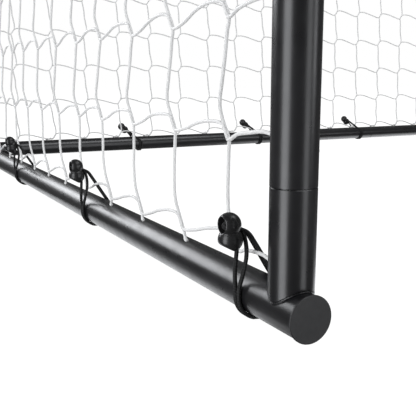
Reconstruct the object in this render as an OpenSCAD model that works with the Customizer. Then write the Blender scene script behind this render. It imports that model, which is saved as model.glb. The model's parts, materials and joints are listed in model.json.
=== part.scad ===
// Free-standing net frame for lawn ball games: a box of plug-together steel tubes,
// closed at the sides, back and roof by knotless netting that ball toggles and
// elastic loops tie to the tubes. The mouth faces -Y and the ground is z = 0.

/* [Frame] */
// Overall width over the outsides of the posts
goal_w = 3000; // [2400:10:3600]
// Overall height from the ground to the top of the crossbar
goal_h = 2000; // [1600:10:2400]
// Distance from the axis of the front posts to the axis of the rear posts
goal_depth = 1584; // [1200:1:2000]

/* [Tube] */
// Outside diameter of every tube
tube_d = 42.4; // [38:0.1:48]
// Wall thickness of every tube
tube_wall = 1.5; // [1.2:0.1:2.5]
// Length of a welded stub, from the axis of the tube it stands on to its seam
stub_len = 112; // [90:1:160]
// Distance from a post's axis to the outer face of the end cap beside it
end_reach = 30.7; // [28:0.1:80]
// Broken edge at each tube end
edge_break = 0.5; // [0.3:0.1:1]
// Gap between two tube ends at a seam
seam_gap = 0.3; // [0.1:0.1:0.8]
// Gap between a stub's saddle and the tube it is welded to
weld_gap = 0.1; // [0.1:0.1:0.4]

/* [Joints] */
// Length of a spigot, half of it in each tube
spigot_len = 120; // [90:1:150]
// Wall thickness of a spigot
spigot_wall = 2; // [1.5:0.1:4]
// Radial clearance between a spigot and the tube around it
spigot_gap = 0.2; // [0.1:0.05:0.5]
// Distance from a seam to the axis of its locking screw
screw_inset = 30; // [20:1:40]
// Diameter of a locking screw's shank
screw_d = 6; // [4:0.5:8]
// Length of a locking screw under its head
screw_len = 14; // [10:1:18]
// Diameter of a locking screw's button head
head_d = 10.5; // [9:0.5:13]
// Height of a locking screw's button head
head_h = 3.3; // [2.5:0.1:5]
// Width across the flats of the socket in the head
socket_w = 4; // [3:0.5:5]
// Outside diameter of the rivet nut in the spigot
nut_d = 9; // [8.5:0.5:12]
// Length of the rivet nut
nut_len = 11; // [8:0.5:14]
// Radial clearance round screws and rivet nuts
screw_gap = 0.1; // [0.05:0.05:0.3]

/* [End caps] */
// Height of the cap's flange over the tube's surface
flange_proud = 1; // [0.5:0.1:2]
// Thickness of the cap's flange
flange_t = 2; // [1.5:0.1:4]
// Rounding of the flange's outer edge
flange_round = 0.7; // [0.3:0.1:1.2]
// Length of the plug behind the flange
plug_len = 20; // [14:1:30]
// Wall thickness of the plug
plug_wall = 2; // [1.5:0.1:3]
// Number of gripping ribs on the plug
plug_ribs = 3; // [2:1:4]
// Height of a gripping rib
rib_h = 0.6; // [0.3:0.1:1]
// Clearance between a rib's crest and the tube's bore
rib_gap = 0.1; // [0.05:0.05:0.3]

/* [Net] */
// Thickness of the netting twine
twine_d = 3.3; // [2.5:0.1:5]
// Column spacing of the side and roof nets
side_mesh_w = 118; // [80:1:140]
// Row spacing of the side nets
side_mesh_h = 118; // [80:1:140]
// Column spacing of the rear net
rear_mesh_w = 108; // [80:1:140]
// Row spacing of the rear net
rear_mesh_h = 104; // [80:1:140]
// Half length, along the rows, of the diagonal where two twines run together
cross_run = 5; // [3:0.5:9]
// Half height of that diagonal
cross_rise = 7; // [3:0.5:10]
// Distance from the post's axis to the first free upright twine of a side net
side_first_col = 117; // [90:1:150]
// Distance from the side tube's axis to the first free upright twine of the rear net
rear_first_col = 109; // [90:1:150]
// Height of a side net's lowest row over the surface of the ground tube
side_foot_row = 14.8; // [10:0.1:18]
// Distance from the surface of a post to the edge cord beside it
edge_row = 6.8; // [4:0.1:10]
// Height of the rear net's lowest row over the surface of the ground bar
rear_foot_row = 9.6; // [8:0.1:20]
// Distance from the surface of a top tube down to the top edge cord
top_row = 14; // [12:0.5:18]
// Forward lean of the short tails that run from the lowest row to the tube
tail_lean = 18; // [0:1:30]
// Length of the corner of the roof net that is cut off to pass a post
roof_corner = 48; // [44:1:70]
// Gap between the netting and what it lies against
net_gap = 0.3; // [0.2:0.1:0.6]

/* [Toggles] */
// Diameter of the ball
ball_d = 23; // [20:0.5:28]
// Diameter of the lobe under the ball
lobe_d = 24; // [20:0.5:30]
// Distance from the ball's centre down to the lobe's centre
lobe_drop = 14.5; // [12:0.5:17]
// Shift of the lobe's centre from the ball's centre, towards the net
lobe_shift = 1.4; // [0:0.1:4]
// Distance from the lobe's centre to its flat foot
foot_dist = 8.5; // [6:0.5:11]
// Tilt of the flat foot
foot_tilt = 30; // [0:1:45]
// Diameter of the recess in the ball
recess_d = 17; // [12:0.5:18]
// Depth of the recess, from the ball's outermost point
recess_depth = 11; // [8:0.5:14]
// Gap between the tube's side and the line that the ball's centre stands on
ball_out = 11.5; // [9:0.5:16]
// Height of the ball's centre over the surface of the tube
ball_up = 50; // [46:0.5:60]

/* [Elastic loops] */
// Diameter of the elastic cord
cord_d = 4; // [3:0.1:5]
// Gap between the cord and the tube it goes round
cord_gap = 0.2; // [0.1:0.1:0.5]
// Flattening of the cord where the frame stands on it
cord_squash = 0.6; // [0.3:0.1:1]
// Distance between the two turns of the cord on the tube
turn_gap = 6.4; // [5.5:0.1:9]
// Distance, outwards from the net, of the place where the turns join in the bundle
bundle_end = 8; // [4:0.5:12]
// Distance of the bundle's middle line under the ball's centre
bundle_drop = 2; // [0:0.5:4]
// Diameter of the stopper knot in the ball
knot_d = 10; // [8:0.5:12]
// Clearance between the cord and the toggle
cord_fit = 0.25; // [0.15:0.05:0.5]

/* [Tie places] */
// Distance between two ties on a side ground tube
side_tie_pitch = 480; // [300:10:600]
// Distance from the post's axis to the first tie on a side ground tube
side_tie_first = 55; // [45:1:100]
// Distance from the left tube's axis to the first tie on the rear ground bar
rear_tie_first = 498; // [200:1:600]
// Distance between two ties on the rear ground bar
rear_tie_pitch = 464; // [300:1:600]
// Sideways lean of the toggles on the rear ground bar
rear_tie_lean = 44; // [0:1:50]
// Least distance from a corner's axis to a tie on a top tube
top_tie_first = 190; // [170:1:300]
// Usual distance between two ties along a top tube or a post
top_tie_pitch = 620; // [400:10:800]
// Least distance from a corner's axis to a tie on a post
post_tie_first = 480; // [300:10:600]
// Height between a side net's tie on a rear post and the rear net's tie beside it
rear_post_step = 180; // [120:10:300]

/* [Hidden] */
$fn = 64;

tube_r = tube_d / 2;
bore_r = tube_r - tube_wall;
twine_r = twine_d / 2;
cord_r = cord_d / 2;
spigot_r = bore_r - spigot_gap;

// Frame lines. The tubes stand on the flattened cord of the ground ties.
ground_z = tube_r + cord_gap + cord_d - cord_squash;
top_z = goal_h - tube_r;
rise = top_z - ground_z;
span = goal_w - tube_d;
side_x = span / 2;
tie_reach = tube_r + ball_out + ball_d / 2;
front_y = -(goal_depth + tie_reach - end_reach) / 2;
rear_y = front_y + goal_depth;

// Lengths of the plugged tubes between two seams
post_len = rise - 2 * (stub_len + seam_gap);
bar_len = side_x - stub_len - 1.5 * seam_gap;

// Net lines, measured from the tubes' axes
post_edge = tube_r + edge_row;
top_edge = tube_r + top_row;
side_foot = tube_r + side_foot_row;
rear_foot = tube_r + rear_foot_row;

// Tie geometry in the local frame of a tube along Y: the net is above it and -X is outwards
wrap_r = tube_r + cord_gap + cord_r;
ball_at = [-tube_r - ball_out, 0, tube_r + ball_up];
lobe_at = ball_at + [lobe_shift, 0, -lobe_drop];
gather_at = [-bundle_end, 0, ball_at.z - bundle_drop];
knot_at = [ball_at.x - ball_d / 2 + recess_depth - cord_fit - knot_d / 2, 0, gather_at.z];
lobe_entry = [-wrap_r, 0, lobe_at.z - lobe_d / 5];
lean_z = tube_r / 4;
bundle_r = 0.85 * cord_d;
knuckle = 0.06;
cord_fn = 14;
ball_fn = 24;

// ---------- small helpers ----------

function unit(v) = v / norm(v);

// Even places from first to last, about pitch apart
function spread(first, last, pitch) =
    let (n = max(1, round((last - first) / pitch)))
    [for (i = [0:n]) first + i * (last - first) / n];

// The middle of the mesh, counted from start, that holds t
function mid_mesh(t, start, pitch) = start + (floor((t - start) / pitch) + 0.5) * pitch;

// Places from first onwards at a fixed pitch, up to last
function places(first, last, pitch) = [for (p = first; p <= last; p = p + pitch) p];

// Copies what it is given to both sides of the frame
module both_sides() {
    children();
    mirror([1, 0, 0]) children();
}

// A straight round rod between two points
module rod(a, b, d) {
    v = b - a;
    translate(a)
        rotate([0, acos(v.z / norm(v)), atan2(v.y, v.x)])
            cylinder(d = d, h = norm(v), $fn = cord_fn);
}

// ---------- tubes ----------

// A tube along +Z with broken edges and, where asked, screw holes that face +X
module tube(len, holes = []) {
    difference() {
        rotate_extrude()
            polygon([
                [bore_r, 0], [tube_r - edge_break, 0], [tube_r, edge_break],
                [tube_r, len - edge_break], [tube_r - edge_break, len], [bore_r, len]
            ]);
        for (h = holes) translate([0, 0, h]) rotate([0, 90, 0])
            cylinder(r = screw_d / 2 + screw_gap, h = tube_d);
    }
}

// A stub along +Z whose saddle fits a tube along Y. A mitred stub shares its corner
// with a second stub along +X.
module stub(mitred) {
    difference() {
        tube(stub_len);
        rotate([90, 0, 0]) cylinder(r = tube_r + weld_gap, h = 2 * tube_d, center = true);
        if (mitred)
            rotate([0, -45, 0])
                translate([-tube_d, -tube_d, -4 * tube_d - weld_gap / 2])
                    cube([4 * tube_d, 2 * tube_d, 4 * tube_d]);
    }
}

module post_stub(mitred) stub(mitred);
module bar_stub() mirror([1, 0, -1]) stub(true);

module at_corner(y, z) translate([-side_x, y, z]) children();
module hang_at_corner(y) at_corner(y, top_z) mirror([0, 0, 1]) children();

// A side tube along Y, from end cap to end cap
module side_tube(z) {
    reach = end_reach - flange_t;
    translate([-side_x, front_y - reach, z]) rotate([-90, 0, 0])
        tube(goal_depth + 2 * reach);
}

// A post between the seams of its two stubs, with its screws on the goal's side
module post(y)
    translate([-side_x, y, ground_z + stub_len + seam_gap])
        tube(post_len, [screw_inset, post_len - screw_inset]);

// Half a bar along +X, from the seam of its stub to the seam in the middle;
// turn sets which way its screws face
module half_bar(y, z, turn)
    translate([-side_x + stub_len + seam_gap, y, z]) rotate([0, 90, 0]) rotate([0, 0, turn])
        tube(bar_len, [screw_inset, bar_len - screw_inset]);

facing_down = 0;
facing_back = 90;

// ---------- joints ----------

// A spigot along Z, centred on its seam, with a hole for a rivet nut on each screwed side
module spigot(screwed) {
    difference() {
        cylinder(r = spigot_r, h = spigot_len, center = true);
        cylinder(r = spigot_r - spigot_wall, h = spigot_len + 2, center = true);
        for (s = screwed) translate([0, 0, s * screw_inset]) rotate([0, 90, 0])
            cylinder(r = nut_d / 2 + screw_gap, h = tube_d);
    }
}

// Screw along -X with its head on the tube's surface
module screw() {
    translate([tube_r, 0, 0]) rotate([0, 90, 0]) difference() {
        union() {
            translate([0, 0, -screw_len]) cylinder(d = screw_d, h = screw_len);
            rotate_extrude()
                polygon([
                    [0, 0], [head_d / 2, 0], [head_d / 2, head_h * 0.3],
                    [head_d * 0.36, head_h * 0.85], [head_d * 0.2, head_h], [0, head_h]
                ]);
        }
        translate([0, 0, head_h * 0.4]) cylinder(d = socket_w / cos(30), h = head_h, $fn = 6);
    }
}

module rivet_nut() {
    translate([bore_r - spigot_gap - nut_len, 0, 0]) rotate([0, 90, 0]) difference() {
        cylinder(d = nut_d, h = nut_len);
        translate([0, 0, -1]) cylinder(r = screw_d / 2 + screw_gap, h = nut_len + 2);
    }
}

// Each post joint of the left side, turned so that local +Z leads into the post
module at_post_joints() {
    for (y = [front_y, rear_y]) {
        translate([-side_x, y, ground_z + stub_len + seam_gap / 2]) children();
        translate([-side_x, y, top_z - stub_len - seam_gap / 2]) mirror([0, 0, 1]) children();
    }
}

// The place and the screws' facing of each bar
module at_bars() {
    translate([0, front_y, top_z]) rotate([0, 90, 0]) children();
    translate([0, rear_y, top_z]) rotate([0, 90, 0]) children();
    translate([0, rear_y, ground_z]) rotate([0, 90, 0]) rotate([0, 0, facing_back]) children();
}

// Each bar's joint with its left stub, turned so that local +Z leads into the bar
module at_bar_joints()
    at_bars() translate([0, 0, stub_len + seam_gap / 2 - side_x]) children();

// Every place where a screw meets its tube
module at_screws() {
    both_sides() {
        at_post_joints() translate([0, 0, screw_inset + seam_gap / 2]) children();
        at_bar_joints() translate([0, 0, screw_inset + seam_gap / 2]) children();
        at_bars() translate([0, 0, -screw_inset - seam_gap / 2]) children();
    }
}

// ---------- end caps ----------

// A cap on the end of a tube: its outer face is at z = 0 and its plug points to +Z
module end_cap() {
    flange_r = tube_r + flange_proud;
    core_r = bore_r - rib_gap - rib_h;
    rib_pitch = plug_len / (plug_ribs + 0.5);
    rotate_extrude() {
        difference() {
            union() {
                translate([0, flange_round]) square([flange_r, flange_t - flange_round]);
                square([flange_r - flange_round, flange_t]);
                translate([flange_r - flange_round, flange_round]) circle(r = flange_round);
            }
            translate([-flange_r, 0]) square([flange_r, flange_t]);
        }
        translate([core_r - plug_wall, flange_t]) square([plug_wall, plug_len]);
        for (i = [1:plug_ribs])
            translate([core_r, flange_t + i * rib_pitch])
                polygon([[0, -rib_pitch / 4], [rib_h, 0], [0, rib_pitch / 4]]);
    }
}

module end_caps(z)
    both_sides() {
        translate([-side_x, front_y - end_reach, z]) rotate([-90, 0, 0]) end_cap();
        translate([-side_x, rear_y + end_reach, z]) rotate([90, 0, 0]) end_cap();
    }

// ---------- nets ----------

// Grid lines from one edge cord to the other
function grid(first, start, last, pitch) =
    concat([first], [for (p = start; p < last - pitch / 2; p = p + pitch) p], [last]);

function inner(i, n) = i > 0 && i < n - 1;

// Half of the diagonal along which two twines run together; edge cords have none
function joint(xs, ys, i, j) =
    inner(i, len(xs)) && inner(j, len(ys)) ? [cross_run, cross_rise] : [0, 0];

function cut(c, a, b, d) = d > 0 ? [c + d * a, c + d * b] : [c];

// The middle lines of the twines round one mesh, anticlockwise
function mesh(xs, ys, i, j, corner) =
    let (
        left = i == 0, right = i == len(xs) - 2, low = j == 0, high = j == len(ys) - 2,
        a = [xs[i], ys[j]], b = [xs[i + 1], ys[j]],
        c = [xs[i + 1], ys[j + 1]], d = [xs[i], ys[j + 1]],
        jb = joint(xs, ys, i + 1, j), jd = joint(xs, ys, i, j + 1)
    )
    concat(
        left && low ? cut(a, [0, 1], [1, 0], corner) : [a + joint(xs, ys, i, j)],
        right && low ? cut(b, [-1, 0], [0, 1], corner) : [b - jb, b + jb],
        right && high ? cut(c, [0, -1], [-1, 0], corner) : [c - joint(xs, ys, i + 1, j + 1)],
        left && high ? cut(d, [1, 0], [0, -1], corner) : [d + jd, d - jd]
    );

// The middle lines of the edge cords
function outline(xs, ys, corner) =
    let (x0 = xs[0], x1 = xs[len(xs) - 1], y0 = ys[0], y1 = ys[len(ys) - 1])
    concat(
        cut([x0, y0], [0, 1], [1, 0], corner), cut([x1, y0], [-1, 0], [0, 1], corner),
        cut([x1, y1], [0, -1], [-1, 0], corner), cut([x0, y1], [1, 0], [0, -1], corner)
    );

function distinct(p) =
    [for (k = [0:len(p) - 1]) if (norm(p[k] - p[(k + 1) % len(p)]) > 0.001) p[k]];

// Moves each side of an anticlockwise outline inwards by h
function inset(p, h) =
    [for (k = [0:len(p) - 1])
        let (
            u = unit(p[k] - p[(k + len(p) - 1) % len(p)]), v = unit(p[(k + 1) % len(p)] - p[k]),
            m = [-u.y, u.x], n = [-v.y, v.x]
        )
        p[k] + h * (m + n) / (1 + m * n)];

// A flat net with a mesh between each pair of grid lines
module netting(xs, ys, corner = 0)
    translate([0, 0, -twine_r]) linear_extrude(twine_d) difference() {
        polygon(inset(outline(xs, ys, corner), -twine_r));
        meshes(xs, ys, corner);
    }

module meshes(xs, ys, corner)
    for (i = [0:len(xs) - 2], j = [0:len(ys) - 2])
        polygon(inset(distinct(mesh(xs, ys, i, j, corner)), twine_r));

// A net whose upright twines run on below its lowest row to the crown of a ground tube,
// and lean back by shift on the way
module tailed_netting(xs, ys, shift)
    translate([0, 0, -twine_r]) linear_extrude(twine_d) difference() {
        x0 = xs[0];
        x1 = xs[len(xs) - 1];
        y1 = ys[len(ys) - 1];
        polygon(inset([[x0, tail_end], [x1, tail_end], [x1, y1], [x0, y1]], -twine_r));
        meshes(xs, ys, 0);
        for (i = [0:len(xs) - 2])
            polygon([
                [i > 0 ? xs[i] + twine_r : x0 - twine_d, ys[0] - twine_r],
                [i > 0 ? xs[i] - shift + twine_r : x0 - twine_d, 0],
                [i < len(xs) - 2 ? xs[i + 1] - shift - twine_r : x1 + twine_d, 0],
                [i < len(xs) - 2 ? xs[i + 1] - twine_r : x1 + twine_d, ys[0] - twine_r]
            ]);
    }

tail_end = tube_r + net_gap + twine_r;
side_cols = grid(post_edge, side_first_col, goal_depth - post_edge, side_mesh_w);
side_rows = grid(side_foot, side_foot + side_mesh_h, rise - top_edge, side_mesh_h);
rear_cols = grid(post_edge, rear_first_col, span - post_edge, rear_mesh_w);
rear_rows = grid(rear_foot, rear_foot + rear_mesh_h, rise - top_edge, rear_mesh_h);
roof_inset = twine_d + net_gap;
roof_cols = grid(roof_inset, side_mesh_w, span - roof_inset, side_mesh_w);
roof_rows = grid(0, side_mesh_w, goal_depth - roof_inset, side_mesh_w);

module side_net()
    translate([-side_x, front_y, ground_z]) rotate([90, 0, 90])
        tailed_netting(side_cols, side_rows, tail_lean);

module back_net()
    translate([-side_x, rear_y, ground_z]) rotate([90, 0, 0])
        tailed_netting(rear_cols, rear_rows, 0);

module top_net()
    translate([-side_x, front_y, top_z - top_edge]) netting(roof_cols, roof_rows, roof_corner);

// ---------- ties: a toggle and its elastic loop ----------

// Leans a point of the toggle's end of the loop sideways, about a line across the tube
function leaned(p, a) =
    [p.x, p.y * cos(a) - (p.z - lean_z) * sin(a), lean_z + p.y * sin(a) + (p.z - lean_z) * cos(a)];

module lean_over(a) translate([0, 0, lean_z]) rotate([a, 0, 0]) translate([0, 0, -lean_z]) children();

// Angle, from +X towards +Z, at which a straight from p touches the turns on the inner side
function leave_angle(p) = 90 - atan2(p.x, p.z) - acos(wrap_r / norm([p.x, p.z]));

// The bundle of cord that leads from the net's side through the ball to the stopper knot
module bundle(lean, gap) rod(leaned(gather_at, lean), leaned(knot_at, lean), 2 * (bundle_r + gap));

// The two strands that come up from the tube into the lobe
module lobe_strands(lean, d)
    for (s = [-1, 1]) {
        side = [0, s * turn_gap / 2, 0];
        rod(side - [wrap_r, 0, 0], leaned(lobe_entry + side, lean), d);
    }

// The elastic cord: two turns under the tube, each with one strand up into the lobe and one
// back over the net's edge cord into the bundle behind the ball; knuckles round its bends
module loop(lean) {
    gather = leaned(gather_at, lean);
    leave = leave_angle(gather);
    for (s = [-1, 1]) {
        side = [0, s * turn_gap / 2, 0];
        translate(side) rotate([90, 0, 0]) rotate([0, 0, 180])
            rotate_extrude(angle = 180 + leave, $fn = 32)
                translate([wrap_r, 0]) circle(d = cord_d, $fn = cord_fn);
        inner_end = wrap_r * [cos(leave), 0, sin(leave)] + side;
        rod(inner_end, gather + side * 0.2, cord_d);
        for (bend = lean == 0 ? [inner_end] : [inner_end, side - [wrap_r, 0, 0]])
            translate(bend) sphere(d = cord_d + 2 * knuckle, $fn = cord_fn);
    }
    lobe_strands(lean, cord_d);
    bundle(lean, 0);
    translate(leaned(knot_at, lean)) rotate([0, 90, 0]) sphere(d = knot_d, $fn = ball_fn);
}

// The moulded toggle before its cord channels are cut: ball and lobe turned about their common
// axis, then cut for the flat foot and the recess
module toggle_body() {
    axis = ball_at - lobe_at;
    difference() {
        translate(ball_at) rotate([0, atan2(axis.x, axis.z), 0]) rotate([0, 0, 90])
            rotate_extrude($fn = 2 * ball_fn) intersection() {
                union() {
                    circle(d = ball_d, $fn = 2 * ball_fn);
                    translate([0, -norm(axis)]) circle(d = lobe_d, $fn = 2 * ball_fn);
                }
                translate([0, -3 * ball_d]) square([2 * ball_d, 6 * ball_d]);
            }
        translate(lobe_at) rotate([0, foot_tilt, 0]) translate([0, 0, -foot_dist - lobe_d / 2])
            cube([2 * lobe_d, 2 * lobe_d, lobe_d], center = true);
        translate(ball_at) rotate([0, -90, 0]) translate([0, 0, ball_d / 2 - recess_depth])
            cylinder(d = recess_d, h = ball_d, $fn = ball_fn);
    }
}

module toggle(lean) {
    difference() {
        lean_over(lean) toggle_body();
        bundle(lean, cord_fit);
        lobe_strands(lean, cord_d + 2 * cord_fit);
    }
}

// The places of the ties on each tube; on_... turns the local frame of a tie into place
module on_side_ground()
    for (t = places(side_tie_first, goal_depth - side_tie_first, side_tie_pitch))
        translate([-side_x, front_y + t, ground_z]) children();

module on_rear_ground()
    for (t = places(rear_tie_first, span - stub_len - ball_up, rear_tie_pitch))
        translate([-side_x + t, rear_y, ground_z]) rotate([0, 0, -90]) children();

module on_front_post()
    for (t = spread(post_tie_first, rise - post_tie_first, top_tie_pitch))
        translate([-side_x, front_y, ground_z + mid_mesh(t, side_foot, side_mesh_h)])
            rotate([-90, 0, 0]) children();

module on_rear_post()
    for (t = spread(post_tie_first, rise - post_tie_first, 2 * top_tie_pitch)) {
        translate([-side_x, rear_y, ground_z + mid_mesh(t, side_foot, side_mesh_h)])
            rotate([90, 0, 0]) children();
        translate([-side_x, rear_y, ground_z + mid_mesh(t + rear_post_step, rear_foot, rear_mesh_h)])
            rotate([0, 0, -90]) rotate([-90, 0, 0]) children();
    }

module on_side_top()
    for (t = spread(top_tie_first, goal_depth - top_tie_first, top_tie_pitch))
        translate([-side_x, front_y + mid_mesh(t, 0, side_mesh_w), top_z])
            rotate([180, 0, 0]) children();

module on_top_bar(y)
    for (t = spread(top_tie_first, span - top_tie_first, top_tie_pitch))
        translate([-side_x + mid_mesh(t, 0, side_mesh_w), y, top_z])
            rotate([0, 0, -90]) mirror([0, 0, 1]) children();

// Loops that the frame stands on are flat underneath
module flattened()
    intersection() {
        children();
        translate([-goal_w, -2 * goal_depth, 0]) cube([2 * goal_w, 4 * goal_depth, goal_h]);
    }

// ---------- colours ----------

module coat() color([0.12, 0.12, 0.13]) children();
module zinc() color([0.72, 0.73, 0.74]) children();
module plug_plastic() color([0.20, 0.20, 0.21]) children();
module toggle_plastic() color([0.09, 0.09, 0.09]) children();
module elastic() color([0.03, 0.03, 0.03]) children();
module twine() color([0.93, 0.93, 0.92]) children();

// ---------- sub-parts ----------

module left_ground_tube() coat() side_tube(ground_z);
module right_ground_tube() mirror([1, 0, 0]) left_ground_tube();
module left_top_tube() coat() side_tube(top_z);
module right_top_tube() mirror([1, 0, 0]) left_top_tube();

module left_front_post_stub() coat() at_corner(front_y, ground_z) post_stub(false);
module right_front_post_stub() mirror([1, 0, 0]) left_front_post_stub();
module left_rear_post_stub() coat() at_corner(rear_y, ground_z) post_stub(true);
module right_rear_post_stub() mirror([1, 0, 0]) left_rear_post_stub();
module left_front_top_stub() coat() hang_at_corner(front_y) post_stub(true);
module right_front_top_stub() mirror([1, 0, 0]) left_front_top_stub();
module left_rear_top_stub() coat() hang_at_corner(rear_y) post_stub(true);
module right_rear_top_stub() mirror([1, 0, 0]) left_rear_top_stub();
module left_crossbar_stub() coat() hang_at_corner(front_y) bar_stub();
module right_crossbar_stub() mirror([1, 0, 0]) left_crossbar_stub();
module left_rear_ground_stub() coat() at_corner(rear_y, ground_z) bar_stub();
module right_rear_ground_stub() mirror([1, 0, 0]) left_rear_ground_stub();
module left_rear_header_stub() coat() hang_at_corner(rear_y) bar_stub();
module right_rear_header_stub() mirror([1, 0, 0]) left_rear_header_stub();

module left_front_post() coat() post(front_y);
module right_front_post() mirror([1, 0, 0]) left_front_post();
module left_rear_post() coat() post(rear_y);
module right_rear_post() mirror([1, 0, 0]) left_rear_post();
module crossbar_left() coat() half_bar(front_y, top_z, facing_down);
module crossbar_right() mirror([1, 0, 0]) crossbar_left();
module rear_ground_bar_left() coat() half_bar(rear_y, ground_z, facing_back);
module rear_ground_bar_right() mirror([1, 0, 0]) rear_ground_bar_left();
module rear_header_left() coat() half_bar(rear_y, top_z, facing_down);
module rear_header_right() mirror([1, 0, 0]) rear_header_left();

module post_spigots() zinc() both_sides() at_post_joints() spigot([1]);
module bar_spigots() zinc() {
    both_sides() at_bar_joints() spigot([1]);
    at_bars() spigot([-1, 1]);
}
module locking_screws() zinc() at_screws() screw();
module rivet_nuts() zinc() at_screws() rivet_nut();
module ground_end_caps() plug_plastic() end_caps(ground_z);
module top_end_caps() plug_plastic() end_caps(top_z);

module left_side_net() twine() side_net();
module right_side_net() mirror([1, 0, 0]) left_side_net();
module rear_net() twine() back_net();
module roof_net() twine() top_net();

module left_ground_toggles() toggle_plastic() on_side_ground() toggle(0);
module right_ground_toggles() mirror([1, 0, 0]) left_ground_toggles();
module rear_ground_toggles() toggle_plastic() on_rear_ground() toggle(rear_tie_lean);
module front_post_toggles() toggle_plastic() both_sides() on_front_post() toggle(0);
module rear_post_toggles() toggle_plastic() both_sides() on_rear_post() toggle(0);
module left_top_toggles() toggle_plastic() on_side_top() toggle(0);
module right_top_toggles() mirror([1, 0, 0]) left_top_toggles();
module rear_header_toggles() toggle_plastic() on_top_bar(rear_y) toggle(0);
module crossbar_toggles() toggle_plastic() on_top_bar(front_y) toggle(0);

module left_ground_loops() elastic() flattened() on_side_ground() loop(0);
module right_ground_loops() mirror([1, 0, 0]) left_ground_loops();
module rear_ground_loops() elastic() flattened() on_rear_ground() loop(rear_tie_lean);
module front_post_loops() elastic() both_sides() on_front_post() loop(0);
module rear_post_loops() elastic() both_sides() on_rear_post() loop(0);
module left_top_loops() elastic() on_side_top() loop(0);
module right_top_loops() mirror([1, 0, 0]) left_top_loops();
module rear_header_loops() elastic() on_top_bar(rear_y) loop(0);
module crossbar_loops() elastic() on_top_bar(front_y) loop(0);

left_ground_tube();
right_ground_tube();
left_top_tube();
right_top_tube();
left_front_post_stub();
right_front_post_stub();
left_rear_post_stub();
right_rear_post_stub();
left_front_top_stub();
right_front_top_stub();
left_rear_top_stub();
right_rear_top_stub();
left_crossbar_stub();
right_crossbar_stub();
left_rear_ground_stub();
right_rear_ground_stub();
left_rear_header_stub();
right_rear_header_stub();
left_front_post();
right_front_post();
left_rear_post();
right_rear_post();
crossbar_left();
crossbar_right();
rear_ground_bar_left();
rear_ground_bar_right();
rear_header_left();
rear_header_right();
post_spigots();
bar_spigots();
locking_screws();
rivet_nuts();
ground_end_caps();
top_end_caps();
left_side_net();
right_side_net();
rear_net();
roof_net();
left_ground_toggles();
right_ground_toggles();
rear_ground_toggles();
front_post_toggles();
rear_post_toggles();
left_top_toggles();
right_top_toggles();
rear_header_toggles();
crossbar_toggles();
left_ground_loops();
right_ground_loops();
rear_ground_loops();
front_post_loops();
rear_post_loops();
left_top_loops();
right_top_loops();
rear_header_loops();
crossbar_loops();
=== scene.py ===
"""Looks of the netted garden frame: powder coat, twisted twine, ball toggles, elastic loops and a studio."""

import math
import random

import bpy
import numpy as np
from mathutils import Euler, Matrix, Vector
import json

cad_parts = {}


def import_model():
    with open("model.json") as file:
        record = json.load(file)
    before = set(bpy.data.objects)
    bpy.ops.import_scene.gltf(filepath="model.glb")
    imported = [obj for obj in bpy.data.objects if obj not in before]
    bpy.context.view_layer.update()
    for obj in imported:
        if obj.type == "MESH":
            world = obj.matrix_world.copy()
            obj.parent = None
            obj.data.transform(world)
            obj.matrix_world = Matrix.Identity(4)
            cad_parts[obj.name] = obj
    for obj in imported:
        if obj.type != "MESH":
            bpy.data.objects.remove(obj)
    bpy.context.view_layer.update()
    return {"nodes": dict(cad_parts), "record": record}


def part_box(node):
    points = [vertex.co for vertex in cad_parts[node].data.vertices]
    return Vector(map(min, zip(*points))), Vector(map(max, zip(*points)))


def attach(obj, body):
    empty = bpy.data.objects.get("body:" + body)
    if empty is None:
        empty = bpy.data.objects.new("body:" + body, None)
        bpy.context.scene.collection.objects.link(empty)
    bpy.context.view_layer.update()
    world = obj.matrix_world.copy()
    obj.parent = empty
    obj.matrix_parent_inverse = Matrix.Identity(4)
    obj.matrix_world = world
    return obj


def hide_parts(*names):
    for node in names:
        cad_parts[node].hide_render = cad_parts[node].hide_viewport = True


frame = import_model()

MM = 0.001

# ---------- sizes that the looks share with the CAD model, in millimetres ----------

POST_LOW, POST_HIGH = (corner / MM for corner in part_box("left_front_post"))
TUBE_R = (POST_HIGH.x - POST_LOW.x) / 2
SIDE_X = -(POST_LOW.x + POST_HIGH.x) / 2
FRONT_Y = (POST_LOW.y + POST_HIGH.y) / 2
REAR_Y = sum(corner.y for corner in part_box("left_rear_post")) / 2 / MM
GROUND_Z = sum(corner.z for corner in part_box("left_ground_tube")) / 2 / MM
TOP_Z = sum(corner.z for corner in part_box("left_top_tube")) / 2 / MM
SPAN, DEPTH, RISE = 2 * SIDE_X, REAR_Y - FRONT_Y, TOP_Z - GROUND_Z

TUBE_WALL, STUB_LEN = 1.5, 112

# Netting: twine, mesh, the first upright's place and each edge's distance from its tube's axis
TWINE_R = 2.0
SIDE_MESH, REAR_MESH_W, REAR_MESH_H = 118, 108, 104
SIDE_FIRST, REAR_FIRST = 117, 109
SIDE_FOOT, REAR_FOOT, TOP_EDGE, POST_EDGE = TUBE_R + 14.8, TUBE_R + 9.6, TUBE_R + 14, TUBE_R + 6.8
ROOF_INSET, ROOF_CUT = 3.6, 48
SLACK_FOOT = 8

# Ties: the first one's distance from the corner's axis and the pitch
SIDE_TIE_FIRST, SIDE_TIE_PITCH = 55, 480
REAR_TIE_FIRST, REAR_TIE_PITCH, REAR_TIE_CLEAR = 498, 464, 50
POST_TIE_FIRST, POST_TIE_PITCH = 480, 620
REAR_POST_PITCH, REAR_POST_STEP = 1240, 180
TOP_TIE_FIRST, TOP_TIE_PITCH = 190, 620

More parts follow.
